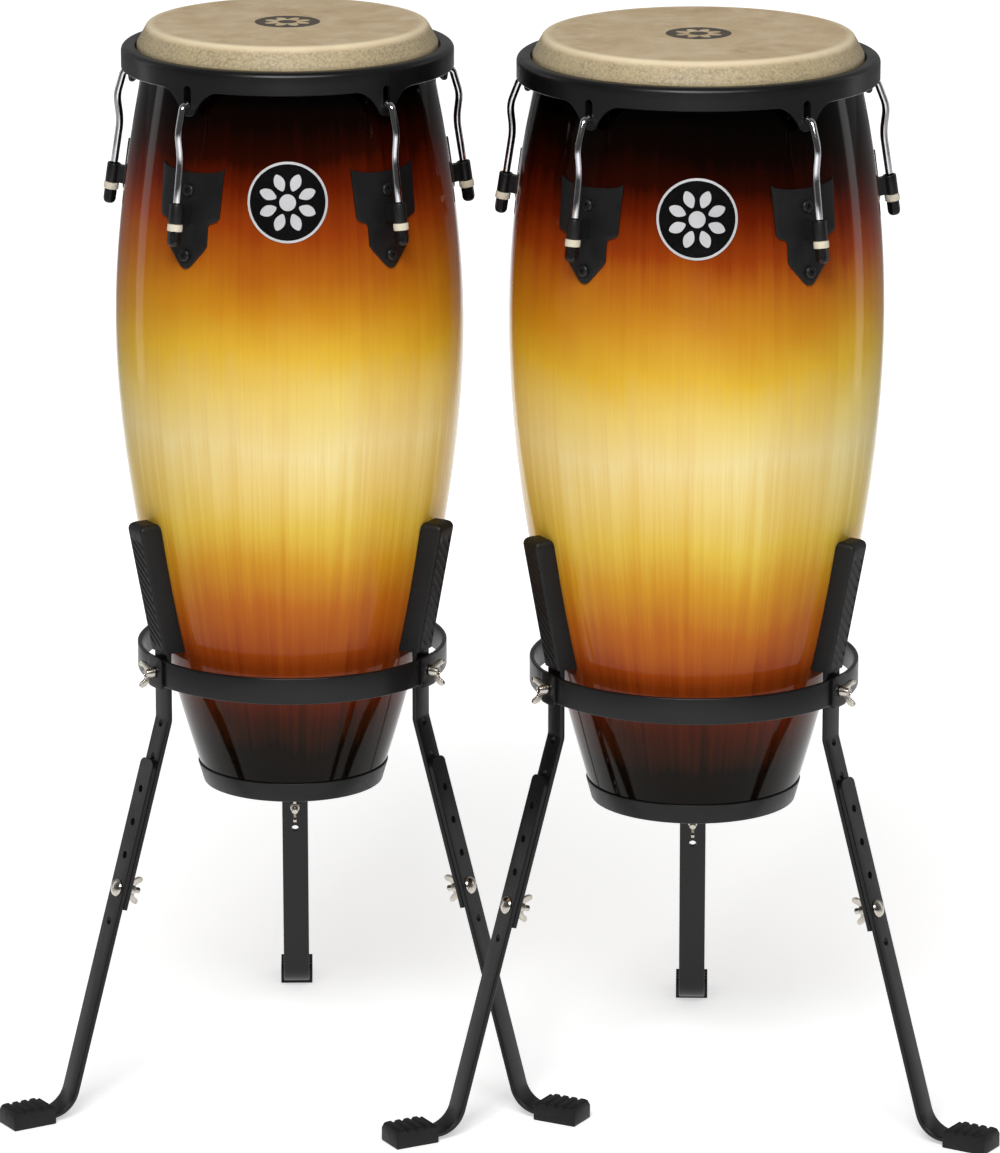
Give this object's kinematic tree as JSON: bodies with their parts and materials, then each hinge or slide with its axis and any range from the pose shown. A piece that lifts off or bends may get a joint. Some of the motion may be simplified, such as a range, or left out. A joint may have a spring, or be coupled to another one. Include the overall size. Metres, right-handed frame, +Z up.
{
  "type": "conga drums",
  "caption": "Pair of tall tapered hand drums with sunburst stave shells, hook-tuned heads and height-adjustable three-legged basket stands.",
  "frame": {"origin": "on the floor, under the middle of the pair's bounding box", "axes": "+Z up; +X from the smaller drum to the larger; -Y is the front, which the badges face to within 2 degrees"},
  "size_m": [0.9298, 0.5514, 1.015],
  "materials": {
    "lacquered_wood": "high-gloss sunburst lacquer, black at both ends through red-brown and amber to yellow at the belly",
    "drumhead": "mottled natural skin",
    "black_steel": "satin black powder coat",
    "dark_steel": "satin dark grey coat",
    "chrome": "polished",
    "nickel": "bright nickel plate",
    "zinc_steel": "zinc plate",
    "lug_nut": "black, with a cream plastic washer",
    "black_rubber": "matt moulded rubber",
    "badge": "gloss black with a silver edge"
  },
  "bodies": {
    "stands": {"quinto_basket_ring": "black_steel", "quinto_upper_legs": "black_steel", "quinto_pads": "black_rubber", "conga_basket_ring": "black_steel", "conga_upper_legs": "black_steel", "conga_pads": "black_rubber"},
    "quinto_drum": {"quinto_shell": "lacquered_wood", "quinto_base_band": "black_rubber", "quinto_badge": "badge", "quinto_skin": "drumhead", "quinto_side_plates": "dark_steel", "quinto_plate_bolts": "dark_steel", "quinto_backing_nuts": "zinc_steel"},
    "quinto_rim_ring": {"quinto_rim": "black_steel", "quinto_flesh_hoop": "black_steel", "quinto_tuning_hooks": "chrome"},
    "quinto_lug_nut_1": {"quinto_lug_nut_1": "lug_nut"},
    "quinto_lug_nut_2": {"quinto_lug_nut_2": "lug_nut"},
    "quinto_lug_nut_3": {"quinto_lug_nut_3": "lug_nut"},
    "quinto_lug_nut_4": {"quinto_lug_nut_4": "lug_nut"},
    "quinto_lug_nut_5": {"quinto_lug_nut_5": "lug_nut"},
    "quinto_lower_leg_1": {"quinto_lower_leg_1": "black_steel", "quinto_foot_1": "black_rubber"},
    "quinto_ring_wing_bolt_1": {"quinto_ring_wing_bolt_1": "nickel"},
    "quinto_leg_clamp_1": {"quinto_leg_clamp_1": "nickel"},
    "quinto_lower_leg_2": {"quinto_lower_leg_2": "black_steel", "quinto_foot_2": "black_rubber"},
    "quinto_ring_wing_bolt_2": {"quinto_ring_wing_bolt_2": "nickel"},
    "quinto_leg_clamp_2": {"quinto_leg_clamp_2": "nickel"},
    "quinto_lower_leg_3": {"quinto_lower_leg_3": "black_steel", "quinto_foot_3": "black_rubber"},
    "quinto_ring_wing_bolt_3": {"quinto_ring_wing_bolt_3": "nickel"},
    "quinto_leg_clamp_3": {"quinto_leg_clamp_3": "nickel"},
    "conga_drum": {"conga_shell": "lacquered_wood", "conga_base_band": "black_rubber", "conga_badge": "badge", "conga_skin": "drumhead", "conga_side_plates": "dark_steel", "conga_plate_bolts": "dark_steel", "conga_backing_nuts": "zinc_steel"},
    "conga_rim_ring": {"conga_rim": "black_steel", "conga_flesh_hoop": "black_steel", "conga_tuning_hooks": "chrome"},
    "conga_lug_nut_1": {"conga_lug_nut_1": "lug_nut"},
    "conga_lug_nut_2": {"conga_lug_nut_2": "lug_nut"},
    "conga_lug_nut_3": {"conga_lug_nut_3": "lug_nut"},
    "conga_lug_nut_4": {"conga_lug_nut_4": "lug_nut"},
    "conga_lug_nut_5": {"conga_lug_nut_5": "lug_nut"},
    "conga_lower_leg_1": {"conga_lower_leg_1": "black_steel", "conga_foot_1": "black_rubber"},
    "conga_ring_wing_bolt_1": {"conga_ring_wing_bolt_1": "nickel"},
    "conga_leg_clamp_1": {"conga_leg_clamp_1": "nickel"},
    "conga_lower_leg_2": {"conga_lower_leg_2": "black_steel", "conga_foot_2": "black_rubber"},
    "conga_ring_wing_bolt_2": {"conga_ring_wing_bolt_2": "nickel"},
    "conga_leg_clamp_2": {"conga_leg_clamp_2": "nickel"},
    "conga_lower_leg_3": {"conga_lower_leg_3": "black_steel", "conga_foot_3": "black_rubber"},
    "conga_ring_wing_bolt_3": {"conga_ring_wing_bolt_3": "nickel"},
    "conga_leg_clamp_3": {"conga_leg_clamp_3": "nickel"}
  },
  "joints": [
    {"name": "quinto_drum_lift", "type": "slide", "parent": "stands", "child": "quinto_drum", "axis": [0, 0, 1], "range_m": [0, 0.32]},
    {"name": "quinto_head_tuning", "type": "slide", "parent": "quinto_drum", "child": "quinto_rim_ring", "axis": [0, 0, 1], "range_m": [-0.003, 0.003]},
    {"name": "quinto_lug_nut_1_turn", "type": "hinge", "parent": "quinto_drum", "child": "quinto_lug_nut_1", "pos_m": [-0.29062, -0.17717, 0.85573], "axis": [-0.0888, -0.1288, -0.9877], "range_deg": [-1081, 1081]},
    {"name": "quinto_lug_nut_2_turn", "type": "hinge", "parent": "quinto_drum", "child": "quinto_lug_nut_2", "pos_m": [-0.08704, -0.1722, 0.85573], "axis": [0.095, -0.1243, -0.9877], "range_deg": [-1081, 1081]},
    {"name": "quinto_lug_nut_3_turn", "type": "hinge", "parent": "quinto_drum", "child": "quinto_lug_nut_3", "pos_m": [-0.02886, 0.02296, 0.85573], "axis": [0.1476, 0.052, -0.9877], "range_deg": [-1081, 1081]},
    {"name": "quinto_lug_nut_4_turn", "type": "hinge", "parent": "quinto_drum", "child": "quinto_lug_nut_4", "pos_m": [-0.19648, 0.1386, 0.85573], "axis": [-0.0038, 0.1564, -0.9877], "range_deg": [-1081, 1081]},
    {"name": "quinto_lug_nut_5_turn", "type": "hinge", "parent": "quinto_drum", "child": "quinto_lug_nut_5", "pos_m": [-0.35826, 0.01491, 0.85573], "axis": [-0.1499, 0.0447, -0.9877], "range_deg": [-1081, 1081]},
    {"name": "quinto_leg_1_height", "type": "slide", "parent": "stands", "child": "quinto_lower_leg_1", "axis": [-0.2353, -0.1436, -0.9613], "range_m": [-0.032, 0.096]},
    {"name": "quinto_ring_wing_bolt_1_turn", "type": "hinge", "parent": "stands", "child": "quinto_ring_wing_bolt_1", "pos_m": [-0.31602, -0.11013, 0.417], "axis": [-0.8536, -0.521, 0], "range_deg": [0, 1080]},
    {"name": "quinto_leg_clamp_1_turn", "type": "hinge", "parent": "stands", "child": "quinto_leg_clamp_1", "pos_m": [-0.35067, -0.13128, 0.213], "axis": [-0.8205, -0.5008, 0.2756], "range_deg": [0, 1080]},
    {"name": "quinto_leg_2_height", "type": "slide", "parent": "stands", "child": "quinto_lower_leg_2", "axis": [0.242, -0.1319, -0.9613], "range_m": [-0.032, 0.096]},
    {"name": "quinto_ring_wing_bolt_2_turn", "type": "hinge", "parent": "stands", "child": "quinto_ring_wing_bolt_2", "pos_m": [-0.06495, -0.10399, 0.417], "axis": [0.878, -0.4787, 0], "range_deg": [0, 1080]},
    {"name": "quinto_leg_clamp_2_turn", "type": "hinge", "parent": "stands", "child": "quinto_leg_clamp_2", "pos_m": [-0.0293, -0.12343, 0.213], "axis": [0.844, -0.4601, 0.2756], "range_deg": [0, 1080]},
    {"name": "quinto_leg_3_height", "type": "slide", "parent": "stands", "child": "quinto_lower_leg_3", "axis": [-0.0067, 0.2756, -0.9613], "range_m": [-0.032, 0.096]},
    {"name": "quinto_ring_wing_bolt_3_turn", "type": "hinge", "parent": "stands", "child": "quinto_ring_wing_bolt_3", "pos_m": [-0.19579, 0.11038, 0.417], "axis": [-0.0244, 0.9997, 0], "range_deg": [0, 1080]},
    {"name": "quinto_leg_clamp_3_turn", "type": "hinge", "parent": "stands", "child": "quinto_leg_clamp_3", "pos_m": [-0.19679, 0.15096, 0.213], "axis": [-0.0235, 0.961, 0.2756], "range_deg": [0, 1080]},
    {"name": "conga_drum_lift", "type": "slide", "parent": "stands", "child": "conga_drum", "axis": [0, 0, 1], "range_m": [0, 0.32]},
    {"name": "conga_head_tuning", "type": "slide", "parent": "conga_drum", "child": "conga_rim_ring", "axis": [0, 0, 1], "range_m": [-0.003, 0.003]},
    {"name": "conga_lug_nut_1_turn", "type": "hinge", "parent": "conga_drum", "child": "conga_lug_nut_1", "pos_m": [0.06807, -0.2426, 0.85573], "axis": [-0.0957, -0.1238, -0.9877], "range_deg": [-1081, 1081]},
    {"name": "conga_lug_nut_2_turn", "type": "hinge", "parent": "conga_drum", "child": "conga_lug_nut_2", "pos_m": [0.28939, -0.24917, 0.85573], "axis": [0.0882, -0.1292, -0.9877], "range_deg": [-1081, 1081]},
    {"name": "conga_lug_nut_3_turn", "type": "hinge", "parent": "conga_drum", "child": "conga_lug_nut_3", "pos_m": [0.36403, -0.04072, 0.85573], "axis": [0.1501, 0.0439, -0.9877], "range_deg": [-1081, 1081]},
    {"name": "conga_lug_nut_4_turn", "type": "hinge", "parent": "conga_drum", "child": "conga_lug_nut_4", "pos_m": [0.18884, 0.09469, 0.85573], "axis": [0.0046, 0.1564, -0.9877], "range_deg": [-1081, 1081]},
    {"name": "conga_lug_nut_5_turn", "type": "hinge", "parent": "conga_drum", "child": "conga_lug_nut_5", "pos_m": [0.00592, -0.03009, 0.85573], "axis": [-0.1473, 0.0527, -0.9877], "range_deg": [-1081, 1081]},
    {"name": "conga_leg_1_height", "type": "slide", "parent": "stands", "child": "conga_lower_leg_1", "axis": [-0.2427, -0.1307, -0.9613], "range_m": [-0.032, 0.096]},
    {"name": "conga_ring_wing_bolt_1_turn", "type": "hinge", "parent": "stands", "child": "conga_ring_wing_bolt_1", "pos_m": [0.04854, -0.16612, 0.417], "axis": [-0.8805, -0.4741, 0], "range_deg": [0, 1080]},
    {"name": "conga_leg_clamp_1_turn", "type": "hinge", "parent": "stands", "child": "conga_leg_clamp_1", "pos_m": [0.01279, -0.18536, 0.213], "axis": [-0.8464, -0.4557, 0.2756], "range_deg": [0, 1080]},
    {"name": "conga_leg_2_height", "type": "slide", "parent": "stands", "child": "conga_lower_leg_2", "axis": [0.2345, -0.1448, -0.9613], "range_m": [-0.032, 0.096]},
    {"name": "conga_ring_wing_bolt_2_turn", "type": "hinge", "parent": "stands", "child": "conga_ring_wing_bolt_2", "pos_m": [0.31342, -0.17398, 0.417], "axis": [0.8508, -0.5255, 0], "range_deg": [0, 1080]},
    {"name": "conga_leg_clamp_2_turn", "type": "hinge", "parent": "stands", "child": "conga_leg_clamp_2", "pos_m": [0.34797, -0.19531, 0.213], "axis": [0.8179, -0.5051, 0.2756], "range_deg": [0, 1080]},
    {"name": "conga_leg_3_height", "type": "slide", "parent": "stands", "child": "conga_lower_leg_3", "axis": [0.0082, 0.2755, -0.9613], "range_m": [-0.032, 0.096]},
    {"name": "conga_ring_wing_bolt_3_turn", "type": "hinge", "parent": "stands", "child": "conga_ring_wing_bolt_3", "pos_m": [0.18779, 0.05935, 0.417], "axis": [0.0297, 0.9996, 0], "range_deg": [0, 1080]},
    {"name": "conga_leg_clamp_3_turn", "type": "hinge", "parent": "stands", "child": "conga_leg_clamp_3", "pos_m": [0.18899, 0.09993, 0.213], "axis": [0.0285, 0.9608, 0.2756], "range_deg": [0, 1080]}
  ],
  "couplings": [
    {"joint": "quinto_lug_nut_1_turn", "follows": "quinto_head_tuning", "rad_per_m": 6283.2},
    {"joint": "quinto_lug_nut_2_turn", "follows": "quinto_head_tuning", "rad_per_m": 6283.2},
    {"joint": "quinto_lug_nut_3_turn", "follows": "quinto_head_tuning", "rad_per_m": 6283.2},
    {"joint": "quinto_lug_nut_4_turn", "follows": "quinto_head_tuning", "rad_per_m": 6283.2},
    {"joint": "quinto_lug_nut_5_turn", "follows": "quinto_head_tuning", "rad_per_m": 6283.2},
    {"joint": "conga_lug_nut_1_turn", "follows": "conga_head_tuning", "rad_per_m": 6283.2},
    {"joint": "conga_lug_nut_2_turn", "follows": "conga_head_tuning", "rad_per_m": 6283.2},
    {"joint": "conga_lug_nut_3_turn", "follows": "conga_head_tuning", "rad_per_m": 6283.2},
    {"joint": "conga_lug_nut_4_turn", "follows": "conga_head_tuning", "rad_per_m": 6283.2},
    {"joint": "conga_lug_nut_5_turn", "follows": "conga_head_tuning", "rad_per_m": 6283.2}
  ]
}
